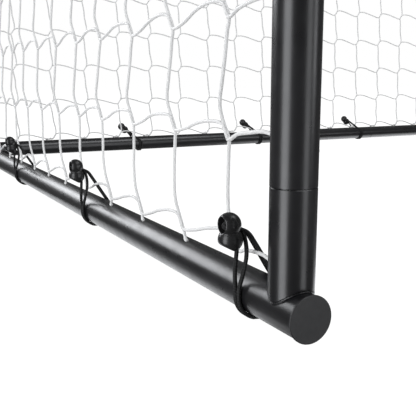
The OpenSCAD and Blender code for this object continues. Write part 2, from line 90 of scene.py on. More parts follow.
# Elastic cord and toggle: ball, lobe, the recess in the ball, and the lean of the ties on the rear bar
CORD_R, KNOT_CORD_R = 2.15, 1.75
WRAP_R = TUBE_R + 0.2 + CORD_R
TURN = 3.2
BALL = Vector((-TUBE_R - 11.5, 0, TUBE_R + 50))
BALL_R, LOBE_R = 11.5, 12.0
LOBE = BALL + Vector((1.4, 0, -14.5))
RECESS_R, RECESS_X = 7.6, BALL.x - BALL_R + 11
FOOT_TILT, FOOT_DROP = math.radians(30), 8.5
LEAN_Z, REAR_LEAN = TUBE_R / 4, math.radians(44)

# The front stub's saddle stands this far off the ground tube's axis
COPE_R = TUBE_R + 2.4


# ---------- node materials ----------


def new_material(name):
    """A material with its Principled shader and helpers to add and join nodes."""
    mat = bpy.data.materials.new(name)
    mat.use_nodes = True
    nodes, links = mat.node_tree.nodes, mat.node_tree.links
    shader = nodes["Principled BSDF"]

    def add(kind, **sockets):
        node = nodes.new(kind)
        for key, value in sockets.items():
            if key in node.inputs:
                node.inputs[key].default_value = value
            else:
                setattr(node, key, value)
        return node

    def join(out, into):
        links.new(out, into)

    return mat, shader, add, join


def noise(add, join, coords, scale, detail):
    """Fractal noise between 0 and 1."""
    node = add("ShaderNodeTexNoise", Scale=scale, Detail=detail, Roughness=0.5)
    join(coords, node.inputs["Vector"])
    return node.outputs["Fac"]


def spread(add, join, value, low, high, low_in=0.3, high_in=0.7):
    """Maps a value from one range to another."""
    node = add("ShaderNodeMapRange")
    node.inputs["From Min"].default_value = low_in
    node.inputs["From Max"].default_value = high_in
    node.inputs["To Min"].default_value = low
    node.inputs["To Max"].default_value = high
    join(value, node.inputs["Value"])
    return node.outputs["Result"]


def two_tone(add, join, value, dark, light, low=0.35, high=0.65):
    """A ramp between two close tones."""
    ramp = add("ShaderNodeValToRGB")
    ramp.color_ramp.elements[0].position, ramp.color_ramp.elements[1].position = low, high
    ramp.color_ramp.elements[0].color = (*dark, 1)
    ramp.color_ramp.elements[1].color = (*light, 1)
    join(value, ramp.inputs["Fac"])
    return ramp.outputs["Color"]


def bumped(add, join, shader, height, distance, strength=1.0):
    """Feeds a height in metres times distance to the shader's normal."""
    bump = add("ShaderNodeBump", Strength=strength, Distance=distance)
    join(height, bump.inputs["Height"])
    join(bump.outputs["Normal"], shader.inputs["Normal"])


def powder_coat():
    """Satin black coat: faint orange peel, slight tone drift and dust-dulled patches."""
    mat, shader, add, join = new_material("powder_coat")
    coords = add("ShaderNodeTexCoord").outputs["Object"]
    tone = noise(add, join, coords, 14, 3)
    colour = two_tone(add, join, tone, (0.0055, 0.0055, 0.0062), (0.0085, 0.0085, 0.0095))
    join(colour, shader.inputs["Base Color"])
    join(spread(add, join, noise(add, join, coords, 60, 4), 0.27, 0.33), shader.inputs["Roughness"])
    bumped(add, join, shader, noise(add, join, coords, 700, 1), 0.00003, 0.5)
    shader.inputs["Specular IOR Level"].default_value = 0.6
    return mat


def zinc():
    """Bright zinc plate with fine turning marks."""
    mat, shader, add, join = new_material("zinc_plate")
    coords = add("ShaderNodeTexCoord").outputs["Object"]
    tone = noise(add, join, coords, 90, 4)
    join(two_tone(add, join, tone, (0.46, 0.47, 0.5), (0.62, 0.62, 0.6)), shader.inputs["Base Color"])
    join(spread(add, join, noise(add, join, coords, 400, 2), 0.22, 0.4), shader.inputs["Roughness"])
    shader.inputs["Metallic"].default_value = 1.0
    bumped(add, join, shader, noise(add, join, coords, 2500, 1), 0.00002)
    return mat


def moulded(name, dark, light, roughness, grain, depth):
    """Moulded plastic with a fine grain and a slight drift of tone and gloss."""
    mat, shader, add, join = new_material(name)
    coords = add("ShaderNodeTexCoord").outputs["Object"]
    join(two_tone(add, join, noise(add, join, coords, 120, 3), dark, light), shader.inputs["Base Color"])
    join(
        spread(add, join, noise(add, join, coords, 300, 2), roughness - 0.04, roughness + 0.05),
        shader.inputs["Roughness"],
    )
    bumped(add, join, shader, noise(add, join, coords, grain, 2), depth, 0.6)
    return mat


def strand_height(add, join, coords, pitch, strands, both_ways=False):
    """Height of a laid twine's strands, or of a braid's when they run both ways. U is a length in metres."""
    split = add("ShaderNodeSeparateXYZ")
    join(coords, split.inputs["Vector"])
    waves = []
    for way in (1, -1) if both_ways else (1,):
        along = add("ShaderNodeMath", operation="MULTIPLY")
        along.inputs[1].default_value = way * 2 * math.pi / pitch
        join(split.outputs["X"], along.inputs[0])
        around = add("ShaderNodeMath", operation="MULTIPLY_ADD")
        around.inputs[1].default_value = 2 * math.pi * strands
        join(split.outputs["Y"], around.inputs[0])
        join(along.outputs[0], around.inputs[2])
        wave = add("ShaderNodeMath", operation="SINE")
        join(around.outputs[0], wave.inputs[0])
        waves.append(wave.outputs[0])
    if not both_ways:
        return waves[0]
    both = add("ShaderNodeMath", operation="MULTIPLY")
    join(waves[0], both.inputs[0])
    join(waves[1], both.inputs[1])
    return both.outputs[0]


def twine_material():
    """White twisted polyethylene twine: laid strands, fibre streaks, and painted shade that greys the grooves
    between the strands.
    """
    mat, shader, add, join = new_material("net_twine")
    uv = add("ShaderNodeUVMap").outputs["UV"]
    lay = strand_height(add, join, uv, 0.009, 3)
    streaks = add("ShaderNodeMapping")
    streaks.inputs["Scale"].default_value = (260, 9, 1)
    join(uv, streaks.inputs["Vector"])
    fibre = noise(add, join, streaks.outputs["Vector"], 1.0, 3)
    height = add("ShaderNodeMath", operation="MULTIPLY_ADD")
    height.inputs[1].default_value = 0.5
    join(fibre, height.inputs[0])
    join(lay, height.inputs[2])
    # Painted shade: the twine is greyer where the strand height is low, in the grooves between the laid
    # strands, and the fibre streaks add their own tone.
    tone = spread(add, join, height.outputs[0], 0, 1, -1, 1.3)
    colour = two_tone(add, join, tone, (0.52, 0.52, 0.517), (0.57, 0.57, 0.567), 0.05, 0.6)
    join(colour, shader.inputs["Base Color"])
    shader.inputs["Roughness"].default_value = 0.48
    shader.inputs["Sheen Weight"].default_value = 0.15
    shader.inputs["Subsurface Weight"].default_value = 0.6
    shader.inputs["Subsurface Radius"].default_value = (1, 1, 1)
    shader.inputs["Subsurface Scale"].default_value = 0.002
    bumped(add, join, shader, height.outputs[0], 0.0002, 0.15)
    return mat


def elastic_material():
    """Braided black cover over rubber, matte, with its small diamond braid and painted shade: darker in the
    braid's hollows, lighter on its crossings.
    """
    mat, shader, add, join = new_material("elastic_cord")
    uv = add("ShaderNodeUVMap").outputs["UV"]
    braid = strand_height(add, join, uv, 0.0052, 4, both_ways=True)
    # Painted shade: the cover's colour follows the braid's height, darker in its hollows and lighter on its
    # crossings.
    tone = spread(add, join, braid, 0, 1, -1, 1)
    colour = two_tone(add, join, tone, (0.004, 0.004, 0.004), (0.013, 0.013, 0.0135), 0.1, 0.8)
    join(colour, shader.inputs["Base Color"])
    shader.inputs["Roughness"].default_value = 0.7
    shader.inputs["Specular IOR Level"].default_value = 0.35
    bumped(add, join, shader, braid, 0.0003, 0.8)
    return mat


COAT = powder_coat()
ZINC = zinc()
CAP = moulded("end_cap_plastic", (0.011, 0.011, 0.0117), (0.0145, 0.0145, 0.0153), 0.42, 1800, 0.00003)
TOGGLE = moulded("toggle_plastic", (0.008, 0.008, 0.0084), (0.013, 0.013, 0.0134), 0.3, 1500, 0.00002)
TWINE = twine_material()
ELASTIC = elastic_material()

CAD_LOOKS = {
    "powder_coated_steel": COAT,
    "zinc_plated_steel": ZINC,
    "end_cap_plastic": CAP,
    "net_twine": TWINE,
    "toggle_plastic": TOGGLE,
    "elastic_cord": ELASTIC,
}

for part in frame["record"]["subparts"]:
    for material_slot in frame["nodes"][part["node"]].material_slots:
        material_slot.material = CAD_LOOKS[part["material_slot"]]


# ---------- swept cords ----------


def smooth(points, step):
    """A centripetal Catmull-Rom curve through the points, with a ring about every step."""
    p = np.array([tuple(v) for v in points], float)
    p = np.vstack([2 * p[0] - p[1], p, 2 * p[-1] - p[-2]])
    out = []
    for a, b, c, d in zip(p, p[1:], p[2:], p[3:]):
        before, here, after = (max(np.linalg.norm(v), 1e-6) ** 0.5 for v in (b - a, c - b, d - c))
        leave = c - b + here * ((b - a) / before - (c - a) / (before + here))
        arrive = c - b + here * ((d - c) / after - (d - b) / (here + after))
        n = max(1, int(math.ceil(here**2 / step)))
        t = (np.arange(n) / n)[:, None]
        out.append(
            b + leave * t + (3 * (c - b) - 2 * leave - arrive) * t**2 + (2 * (b - c) + leave + arrive) * t**3
        )
    return np.vstack(out + [p[-2:-1]])


class Sweep:
    """Gathers tubes into one mesh. Points are in millimetres and the mesh is in metres."""

    def __init__(self):
        self.verts, self.faces, self.uvs, self.count = [], [], [], 0

    def add(self, path, radius, side, sides=8, closed=False):
        """Sweeps a round section along the path; side is a direction that the path never follows."""
        tangent = np.gradient(path, axis=0)
        if closed:
            tangent = np.roll(path, -1, 0) - np.roll(path, 1, 0)
        tangent /= np.linalg.norm(tangent, axis=1)[:, None] + 1e-12
        across = np.array(side, float) - tangent * (tangent @ np.array(side, float))[:, None]
        across /= np.linalg.norm(across, axis=1)[:, None] + 1e-12
        other = np.cross(tangent, across)
        turn = np.linspace(0, 2 * math.pi, sides, endpoint=False)
        rings = np.broadcast_to(np.asarray(radius, float), (len(path),))
        ring = (
            path[:, None]
            + rings[:, None, None] * across[:, None] * np.cos(turn)[None, :, None]
            + rings[:, None, None] * other[:, None] * np.sin(turn)[None, :, None]
        )
        n = len(path)
        length = np.concatenate([[0], np.cumsum(np.linalg.norm(np.diff(path, axis=0), axis=1))]) * MM
        first = self.count
        self.verts.append(ring.reshape(-1, 3))
        self.count += n * sides
        rows = n if closed else n - 1
        i, k = np.meshgrid(np.arange(rows), np.arange(sides), indexing="ij")
        after, beside = (i + 1) % n, (k + 1) % sides
        quads = np.stack([i * sides + k, i * sides + beside, after * sides + beside, after * sides + k], -1)
        self.faces.append(first + quads.reshape(-1, 4))
        step = np.append(length, length[-1])
        u0, u1 = step[i], step[i + 1]
        v0, v1 = k / sides, (k + 1) / sides
        uv = np.stack([np.stack([u0, v0], -1), np.stack([u0, v1], -1), np.stack([u1, v1], -1),
                       np.stack([u1, v0], -1)], 2)
        self.uvs.append(uv.reshape(-1, 2))
        if not closed:
            for end, way in ((0, 1), (n - 1, -1)):
                self.cap(first + end * sides, path[end], sides, way, length[end])

    def cap(self, start, centre, sides, way, length):
        """Closes a cut end with quads that share its middle point."""
        self.verts.append(np.array([centre]))
        middle = self.count
        self.count += 1
        for k in range(0, sides, 2):
            around = [start + (k + m) % sides for m in range(3)]
            quad = [middle] + (around if way < 0 else around[::-1])
            self.faces.append(np.array([quad]))
            self.uvs.append(np.array([[length, 0.5]] * 4))

    def mesh(self, name, material, flattened=False):
        """The gathered mesh; a flattened one is pressed flat where it would reach below the ground."""
        verts = np.vstack(self.verts) * MM
        if flattened:
            verts[:, 2] = np.maximum(verts[:, 2], 0)
        faces = np.vstack(self.faces)
        mesh = bpy.data.meshes.new(name)
        mesh.vertices.add(len(verts))
        mesh.vertices.foreach_set("co", verts.astype(np.float32).ravel())
        mesh.loops.add(faces.size)
        mesh.loops.foreach_set("vertex_index", faces.astype(np.int32).ravel())
        mesh.polygons.add(len(faces))
        mesh.polygons.foreach_set("loop_start", np.arange(0, faces.size, 4, dtype=np.int32))
        uvs = np.vstack(self.uvs).astype(np.float32).ravel()
        mesh.uv_layers.new(name="UVMap").data.foreach_set("uv", uvs)
        mesh.update(calc_edges=True)
        mesh.polygons.foreach_set("use_smooth", np.ones(len(faces), bool))
        mesh.materials.append(material)
        return mesh


def show(name, mesh, slot, *replaced):
    """Links a piece, ties it to the frame and hides the CAD nodes whose place it takes."""
    obj = bpy.data.objects.new(name, mesh)
    bpy.context.scene.collection.objects.link(obj)
    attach(obj, "root")
    if replaced:
        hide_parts(*replaced)


# ---------- nets ----------


def lines(first, start, last, pitch):
    """Grid lines from one edge cord to the other."""
    out, p = [first], start
    while p < last - pitch / 2:
        out.append(p)
        p += pitch
    return out + [last]


class Net:
    """Knotless netting: at each crossing two twines run together along a short diagonal.

    The axes are the directions of u, v and the belly. A net that the camera comes near has finer twines.
    """

    # Half of the crossing's diagonal, across and up
    RUN, RISE_HALF = 5.0, 7.0

    def __init__(self, us, vs, origin, axes, seed, slips=None, near=False):
        self.us, self.vs = us, vs
        self.origin = np.array(origin, float)
        self.across, self.up, self.out = (np.array(v, float) for v in axes)
        self.rng = random.Random(seed)
        self.slips = slips or {}
        self.sides, self.step = (8, 9.0) if near else (6, 12.6)
        self.sweep = Sweep()
        self.shift = {}

    def jitter(self, i, j):
        """How far a crossing has slipped from its place in the grid, and how far it bellies out."""
        if (i, j) not in self.shift:
            edge = i in (0, len(self.us) - 1) or j >= len(self.vs) - 1
            k = 0 if edge else 1
            belly = 3.5 * math.sin(0.9 * i + 0.4 * j) * math.sin(0.35 * j)
            su, sv = self.slips.get((i, j), (0, 0))
            self.shift[i, j] = (
                k * self.rng.uniform(-1.6, 1.6) + su,
                k * self.rng.uniform(-1.6, 1.6) + sv,
                k * (belly + self.rng.uniform(-1, 1)),
            )
        return self.shift[i, j]

    def at(self, i, j, du=0.0, dv=0.0, dn=0.0):
        """A point near crossing i, j in net coordinates."""
        su, sv, sn = self.jitter(i, j)
        return np.array([self.us[i] + su + du, self.vs[j] + sv + dv, sn + dn])

    def in_frame(self, p):
        """Net coordinates to the frame's, in millimetres."""
        return self.origin + p[:, :1] * self.across + p[:, 1:2] * self.up + p[:, 2:3] * self.out

    def lay(self, points):
        """Sweeps a twine through points given in net coordinates."""
        self.sweep.add(self.in_frame(smooth(points, self.step)), TWINE_R, self.out, self.sides)

    def upright(self, i, foot=None):
        """One upright twine up to the top edge cord, from its foot's points or from the first edge cord."""
        s, z = self.RUN, self.RISE_HALF
        points = list(foot or [])
        for j in range(len(self.vs) - 1):
            crossed = j > 0 or foot is not None
            if crossed:
                points += [self.at(i, j, -s, -z, -0.6), self.at(i, j, s, z, -0.6)]
            else:
                points.append(self.at(i, j))
            r = self.rng.uniform
            points += [
                self.at(i, j, s + 2.5 + r(-0.5, 0.5), 0.22 * self.gap_v(j), 3.5),
                self.between(i, j, 0.45, 2.5 + r(-0.5, 0.5), 3),
                self.between(i, j, 0.66, 0.5 + r(-0.5, 0.5), 1),
                self.between(i, j, 0.84, -2.5 + r(-0.5, 0.5), 0),
            ]
        points.append(self.at(i, len(self.vs) - 1))
        self.lay(points)

    def gap_v(self, j):
        """The height of the mesh over row j."""
        return self.vs[j + 1] - self.vs[j]

    def between(self, i, j, t, du, dn):
        """A point on the way from crossing i, j to the one above it."""
        a, b = self.at(i, j), self.at(i, j + 1)
        return a + (b - a) * t + np.array([du, 0, dn])

    def row(self, j):
        """One row twine from edge cord to edge cord, arched before each crossing."""
        s, z = self.RUN, self.RISE_HALF
        points = [self.at(0, j)]
        for i in range(len(self.us) - 1):
            gap = self.us[i + 1] - self.us[i]
            a, b = self.at(i, j), self.at(i + 1, j)
            r = self.rng.uniform
            for t, dv, dn in ((0.2, z + 3, 2), (0.45, z - 1, 2.5), (0.74, -z + 3.5, 1)):
                dv = dv * min(1, gap / 100) * (0.4 if i in (0, len(self.us) - 2) else 1)
                points.append(a + (b - a) * t + np.array([0, dv + r(-0.8, 0.8), dn]))
            if i + 1 < len(self.us) - 1:
                points += [self.at(i + 1, j, -s, -z, 0.6), self.at(i + 1, j, s, z, 0.6)]
        points.append(self.at(len(self.us) - 1, j))
        self.lay(points)

    def edge(self, points):
        """An edge cord of two twines that twist round each other."""
        pitch, offset, radius = 46, 1.4, TWINE_R * 0.85
        p = smooth(points, 7.0)
        length = np.concatenate([[0], np.cumsum(np.linalg.norm(np.diff(p, axis=0), axis=1))])
        for way in (0, math.pi):
            turn = length * 2 * math.pi / pitch + way
            q = p.copy()
            tangent = np.gradient(p, axis=0)[:, :2]
            tangent /= np.linalg.norm(tangent, axis=1)[:, None]
            q[:, 0] += -tangent[:, 1] * np.cos(turn) * offset
            q[:, 1] += tangent[:, 0] * np.cos(turn) * offset
            q[:, 2] += np.sin(turn) * offset
            self.sweep.add(self.in_frame(q), radius, self.out, 8)


# How far the cut ends under a side net's second and later uprights reach forward
TAIL_REACH = (22, 21, 17, 19, 17, 22, 30, 28, 24, 22, 24)


def tail(net, i, reach, spread_out):
    """The end of an upright below the lowest row: it swings forward and lies on the tube's crown."""
    s = net.RUN
    rest = TUBE_R + TWINE_R
    x = 6.0 * spread_out
    height = math.sqrt(rest**2 - x**2)
    centre = net.us[i] + net.slips.get((i, 0), (0, 0))[0]
    end = centre - reach
    return [
        np.array([end - 4, height - 0.3, x]),
        np.array([end, height + 0.1, x * 0.95]),
        np.array([end + 0.3 * (reach - s), height + 1.6, x * 0.6]),
        np.array([end + 0.65 * (reach - s), height + 4.0, x * 0.25]),
    ]


def side_slips(columns, rows):
    """Crossings off the grid: the first tie draws the lowest row forward, the rows above lag behind it."""
    slips = {(1, 0): (-20, 4), (2, 0): (-10, 2)}
    for i in range(1, columns - 1):
        back = min(12 * (i - 1), 36, 9 * (columns - 1 - i))
        for j in range(1, rows - 1):
            hang = min(1, (rows - 1 - j) / (rows - 3))
            slips[i, j] = (back * hang, -1.5 * j * hang)
    return slips


def side_net(name, node, sign, seed):
    """A side net; the first upright ends at the first tie and has no tail."""
    us = lines(POST_EDGE, SIDE_FIRST, DEPTH - POST_EDGE, SIDE_MESH)
    vs = lines(SIDE_FOOT, SIDE_FOOT + SIDE_MESH, RISE - TOP_EDGE, SIDE_MESH)
    slips = side_slips(len(us), len(vs))
    axes = (0, 1, 0), (0, 0, 1), (sign, 0, 0)
    net = Net(us, vs, (sign * SIDE_X, FRONT_Y, GROUND_Z), axes, seed, slips, near=True)
    for i in range(1, len(us) - 1):
        net.upright(i, tail(net, i, TAIL_REACH[(i - 2) % len(TAIL_REACH)], 1) if i > 1 else [])
    for j in range(len(vs) - 1):
        net.row(j)
    edge_cords(net)
    show(name, net.sweep.mesh(name, TWINE), "net_twine", node)


def edge_cords(net):
    """Edge cords up both sides and along the top."""
    us, vs = net.us, net.vs
    for u in (us[0], us[-1]):
        net.edge([(u, v, 0) for v in np.linspace(vs[0] - SLACK_FOOT, vs[-1], 12)])
    net.edge([(u, vs[-1], 0) for u in np.linspace(us[0], us[-1], 16)])


def rear_net():
    """The rear net between the rear posts."""
    us = lines(POST_EDGE, REAR_FIRST, SPAN - POST_EDGE, REAR_MESH_W)
    vs = lines(REAR_FOOT, REAR_FOOT + REAR_MESH_H, RISE - TOP_EDGE, REAR_MESH_H)
    axes = (1, 0, 0), (0, 0, 1), (0, 1, 0)
    net = Net(us, vs, (-SIDE_X, REAR_Y, GROUND_Z), axes, 31)
    for i in range(1, len(us) - 1):
        net.upright(i, tail(net, i, 14 + 3 * (i % 3), 0.6))
    for j in range(len(vs) - 1):
        net.row(j)
    edge_cords(net)
    show("rear_netting", net.sweep.mesh("rear_netting", TWINE), "net_twine", "rear_net")


def roof_net():
    """The roof net inside its rim, whose corners are cut back."""
    us = lines(ROOF_INSET, SIDE_MESH, SPAN - ROOF_INSET, SIDE_MESH)
    vs = lines(0, SIDE_MESH, DEPTH - ROOF_INSET, SIDE_MESH)
    axes = (1, 0, 0), (0, 1, 0), (0, 0, -1)
    net = Net(us, vs, (-SIDE_X, FRONT_Y, TOP_Z - TOP_EDGE), axes, 47)
    for i in range(1, len(us) - 1):
        net.upright(i)
    for j in range(1, len(vs) - 1):
        net.row(j)
    c, x0, x1, y0, y1 = ROOF_CUT, us[0], us[-1], vs[0], vs[-1]
    rim = [(x0, y0 + c), (x0 + c, y0), (x1 - c, y0), (x1, y0 + c)]
    rim += [(x1, y1 - c), (x1 - c, y1), (x0 + c, y1), (x0, y1 - c)]
    path = []
    for (ax, ay), (bx, by) in zip(rim, rim[1:] + rim[:1]):
        n = max(2, int(math.hypot(bx - ax, by - ay) / 150))
        path += [(ax + (bx - ax) * t / n, ay + (by - ay) * t / n, 0) for t in range(n)]
    net.edge(path + [(*rim[0], 0)])
    show("roof_netting", net.sweep.mesh("roof_netting", TWINE), "net_twine", "roof_net")


side_net("left_side_netting", "left_side_net", -1, 11)
side_net("right_side_netting", "right_side_net", 1, 12)
rear_net()
roof_net()


# ---------- ties: where they stand ----------


def evenly(first, last, pitch):
    """Places from first to last, about a pitch apart."""
    n = max(1, round((last - first) / pitch))
    return [first + k * (last - first) / n for k in range(n + 1)]


def mid_mesh(t, start, pitch):
    """The middle of the mesh that holds t."""
    return start + (math.floor((t - start) / pitch) + 0.5) * pitch


def turned(*degrees_about):
    """A rotation made of turns such as ("Z", -90), the first one outermost."""
    out = Matrix.Identity(4)
    for axis, angle in degrees_about:
        out = out @ Matrix.Rotation(math.radians(angle), 4, axis)
    return out


def tie_frames():
    """For each CAD node stem, the frames of its ties in millimetres."""

    def tie(along_x, along_y, up, *turns):
        corner = Vector((-SIDE_X, FRONT_Y, GROUND_Z))
        return Matrix.Translation(corner + Vector((along_x, along_y, up))) @ turned(*turns)

    def mirrored(frames):
        return [Matrix.Diagonal((-1, 1, 1, 1)) @ m for m in frames]

    def bar(along_y):
        return [
            tie(mid_mesh(t, 0, SIDE_MESH), along_y, RISE, ("Z", -90), ("X", 180))
            for t in evenly(TOP_TIE_FIRST, SPAN - TOP_TIE_FIRST, TOP_TIE_PITCH)
        ]

    side = [tie(0, t, 0) for t in np.arange(SIDE_TIE_FIRST, DEPTH - SIDE_TIE_FIRST, SIDE_TIE_PITCH)]
    rear_last = SPAN - STUB_LEN - REAR_TIE_CLEAR
    rear = [tie(t, DEPTH, 0, ("Z", -90)) for t in np.arange(REAR_TIE_FIRST, rear_last, REAR_TIE_PITCH)]
    front_post = [
        tie(0, 0, mid_mesh(t, SIDE_FOOT, SIDE_MESH), ("X", -90))
        for t in evenly(POST_TIE_FIRST, RISE - POST_TIE_FIRST, POST_TIE_PITCH)
    ]
    rear_post = []
    for t in evenly(POST_TIE_FIRST, RISE - POST_TIE_FIRST, REAR_POST_PITCH):
        to_rear_net = mid_mesh(t + REAR_POST_STEP, REAR_FOOT, REAR_MESH_H)
        rear_post += [
            tie(0, DEPTH, mid_mesh(t, SIDE_FOOT, SIDE_MESH), ("X", 90)),
            tie(0, DEPTH, to_rear_net, ("Z", -90), ("X", -90)),
        ]
    side_top = [
        tie(0, mid_mesh(t, 0, SIDE_MESH), RISE, ("X", 180))
        for t in evenly(TOP_TIE_FIRST, DEPTH - TOP_TIE_FIRST, TOP_TIE_PITCH)
    ]
    return {
        "left_ground": side,
        "right_ground": mirrored(side),
        "rear_ground": rear,
        "front_post": front_post + mirrored(front_post),
        "rear_post": rear_post + mirrored(rear_post),
        "left_top": side_top,
        "right_top": mirrored(side_top),
        "rear_header": bar(DEPTH),
        "crossbar": bar(0),
    }


def leaned(p, angle):
    """Leans a point of the toggle's end sideways about a line across the tube."""
    return Vector(
        (
            p[0],
            p[1] * math.cos(angle) - (p[2] - LEAN_Z) * math.sin(angle),
            LEAN_Z + p[1] * math.sin(angle) + (p[2] - LEAN_Z) * math.cos(angle),
        )
    )


# ---------- toggles ----------


def smooth_min(a, b, k):
    """The lesser of two distances, blended over a width of about k."""
    h = np.clip(0.5 + 0.5 * (b - a) / k, 0, 1)
    return b * (1 - h) + a * h - k * h * (1 - h)


def toggle_distance(x, y, z):
    """Signed distance to the moulded toggle: ball over lobe, a recess for the knot, a slanted foot."""
    ball = np.sqrt((x - BALL.x) ** 2 + y**2 + (z - BALL.z) ** 2) - BALL_R
    lobe = np.sqrt((x - LOBE.x) ** 2 + y**2 + (z - LOBE.z) ** 2) - LOBE_R
    body = smooth_min(ball, lobe, 0.35)
    foot = -(x - LOBE.x) * math.sin(FOOT_TILT) - (z - LOBE.z) * math.cos(FOOT_TILT) - FOOT_DROP
    body = -smooth_min(-body, -foot, 1.6)
    ring = np.sqrt(y**2 + (z - BALL.z) ** 2) - RECESS_R
    recess = -smooth_min(-ring, -(x - RECESS_X), 1.5)
    return -smooth_min(-body, recess, 0.9)


def toggle_shell(cell=0.8):
    """Surface nets over the toggle's distance field, drawn onto the surface itself."""
    low = np.array([LOBE.x - 13.6, -13.6, LOBE.z - 12.4])
    high = np.array([LOBE.x + 13.6, 13.6, BALL.z + 13.2])
    counts = np.ceil((high - low) / cell).astype(int) + 1
    grid = np.stack(np.meshgrid(*[low[a] + cell * np.arange(counts[a]) for a in range(3)], indexing="ij"), -1)
    value = toggle_distance(grid[..., 0], grid[..., 1], grid[..., 2])
    inside = value < 0
    total, hits = np.zeros((*(counts - 1), 3)), np.zeros(counts - 1)
    offsets = [(a, b, c) for a in (0, 1) for b in (0, 1) for c in (0, 1)]

    def corner(array, o):
        return array[o[0] : array.shape[0] - 1 + o[0], o[1] : array.shape[1] - 1 + o[1],
                     o[2] : array.shape[2] - 1 + o[2]]

    for a in offsets:
        for b in offsets:
            if a < b and sum(abs(p - q) for p, q in zip(a, b)) == 1:
                va, vb = corner(value, a), corner(value, b)
                crossed = corner(inside, a) != corner(inside, b)
                t = np.where(crossed, va / np.where(crossed, va - vb, 1), 0)[..., None]
                total += np.where(crossed[..., None], corner(grid, a) * (1 - t) + corner(grid, b) * t, 0)
                hits += crossed
    used = hits > 0
    number = np.full(used.shape, -1)
    number[used] = np.arange(used.sum())
    verts = total[used] / hits[used][:, None]
    faces = []
    for axis in range(3):
        one, two = [a for a in range(3) if a != axis]
        start = [slice(None)] * 3
        stop = [slice(None)] * 3
        start[axis], stop[axis] = slice(None, -1), slice(1, None)
        crossed = inside[tuple(start)] != inside[tuple(stop)]
        where = np.argwhere(crossed)
        where = where[(where[:, one] > 0) & (where[:, two] > 0)]
        outward = inside[tuple(where.T)]
        quad = []
        for d1, d2 in ((0, 0), (1, 0), (1, 1), (0, 1)):
            w = where.copy()
            w[:, one] -= d1
            w[:, two] -= d2
            quad.append(number[tuple(w.T)])
        quad = np.stack(quad, 1)
        wrong = outward if axis != 1 else ~outward
        quad[wrong] = quad[wrong][:, ::-1]
        faces.append(quad[:, ::-1])
    faces = np.vstack(faces)
    for _ in range(4):
        x, y, z = verts.T
        e = 0.02
        d = toggle_distance(x, y, z)
        slope = np.stack(
            [
                toggle_distance(x + e, y, z) - toggle_distance(x - e, y, z),
                toggle_distance(x, y + e, z) - toggle_distance(x, y - e, z),
                toggle_distance(x, y, z + e) - toggle_distance(x, y, z - e),
            ],
            1,
        ) / (2 * e)
        size = (slope**2).sum(1) + 1e-9
        verts -= slope * (np.clip(d, -0.5, 0.5) / size)[:, None]
    return verts, faces


SHELL_VERTS, SHELL_FACES = toggle_shell()


def plain_mesh(name, verts, faces, material):
    """A smooth-shaded mesh from vertices in millimetres."""
    mesh = bpy.data.meshes.new(name)
    mesh.from_pydata((np.asarray(verts) * MM).tolist(), [], [list(map(int, f)) for f in faces])
    mesh.polygons.foreach_set("use_smooth", np.ones(len(mesh.polygons), bool))
    mesh.materials.append(material)
    mesh.update()
    return mesh


def placed(frame_matrix, points):
    """Points of a tie's own frame, in the shared frame."""
    m = np.array(frame_matrix)
    return np.asarray(points) @ m[:3, :3].T + m[:3, 3]


def toggles(stem, frames, lean):
    """All the toggles of one CAD node, as one piece."""
    local = np.array([tuple(leaned(v, lean)) for v in SHELL_VERTS])
    verts, faces = [], []
    for k, m in enumerate(frames):
        mirrored = m.to_3x3().determinant() < 0
        verts.append(placed(m, local))
        faces.append((SHELL_FACES[:, ::-1] if mirrored else SHELL_FACES) + k * len(local))
    name = stem + "_toggle_balls"
    mesh = plain_mesh(name, np.vstack(verts), np.vstack(faces), TOGGLE)
    show(name, mesh, "toggle_plastic", stem + "_toggles")


# ---------- elastic loops ----------


def arc(start, stop, side):
    """Part of a turn round the tube, angles from +X towards +Z."""
    n = 26
    return [
        Vector((WRAP_R * math.cos(a), side, WRAP_R * math.sin(a)))
        for a in (math.radians(start + (stop - start) * k / n) for k in range(n + 1))
    ]


def loop_paths(lean, rng):
    """The runs of one tie's elastic cord, in the tie's own frame."""

    def up(x, y, z):
        return leaned((x, y, z), lean)

    r = rng.uniform
    neck_z = (BALL.z + LOBE.z) / 2 + 1
    bow = r(0.6, 1.8)
    inner = up(-19.0, 0, neck_z)
    far_over = [up(-13, 0, neck_z - 3.5), up(-5 + r(-1, 1), 0, neck_z - 14), up(7, 0, 31)]
    paths = []
    for side in (TURN, -TURN):
        climb = [p + Vector((0, side * w, 0)) for p, w in zip(far_over, (0.55, 0.7, 0.9))]
        under = arc(12, -180, side)
        if side > 0:
            near = [
                Vector((-WRAP_R - 0.3, side, 9)),
                up(-WRAP_R - 1.0, side * 0.85, 24) if not lean else up(-WRAP_R, side * 0.9, 22),
                up(-WRAP_R - 0.4, side * 0.55, 38),
                up(LOBE.x + 7.6, side * 0.35, LOBE.z - 7.5),
                up(LOBE.x + 6.0, 0.4, LOBE.z - 2),
            ]
        else:
            near = [
                Vector((-WRAP_R + 0.2, side, 8)),
                up(-WRAP_R + 2.5 + bow, side * 1.05, 22),
                up(-17.0 + bow, side * 0.9, 40),
                up(-16.2, side * 0.7, 54),
                up(-19.5, side * 0.35, neck_z - 1),
                up(-24, 0, neck_z + 3),
            ]
        start = [up(-24, 0, neck_z + 1.5), inner + Vector((0, side * 0.5, 0))]
        paths.append(start + climb + under + near)
    return paths


def knot_path():
    """An overhand knot, pulled tight, that sits in the ball's recess."""
    t = np.linspace(0, 2 * math.pi, 60, endpoint=False)
    x = np.cos(3 * t) * 1.5
    y = (np.sin(t) + 2 * np.sin(2 * t)) * 1.25
    z = (np.cos(t) - 2 * np.cos(2 * t)) * 1.25
    centre = (RECESS_X - 3.4, 0, BALL.z - 1)
    return np.stack([centre[0] - x, centre[1] + y, centre[2] + z], 1)


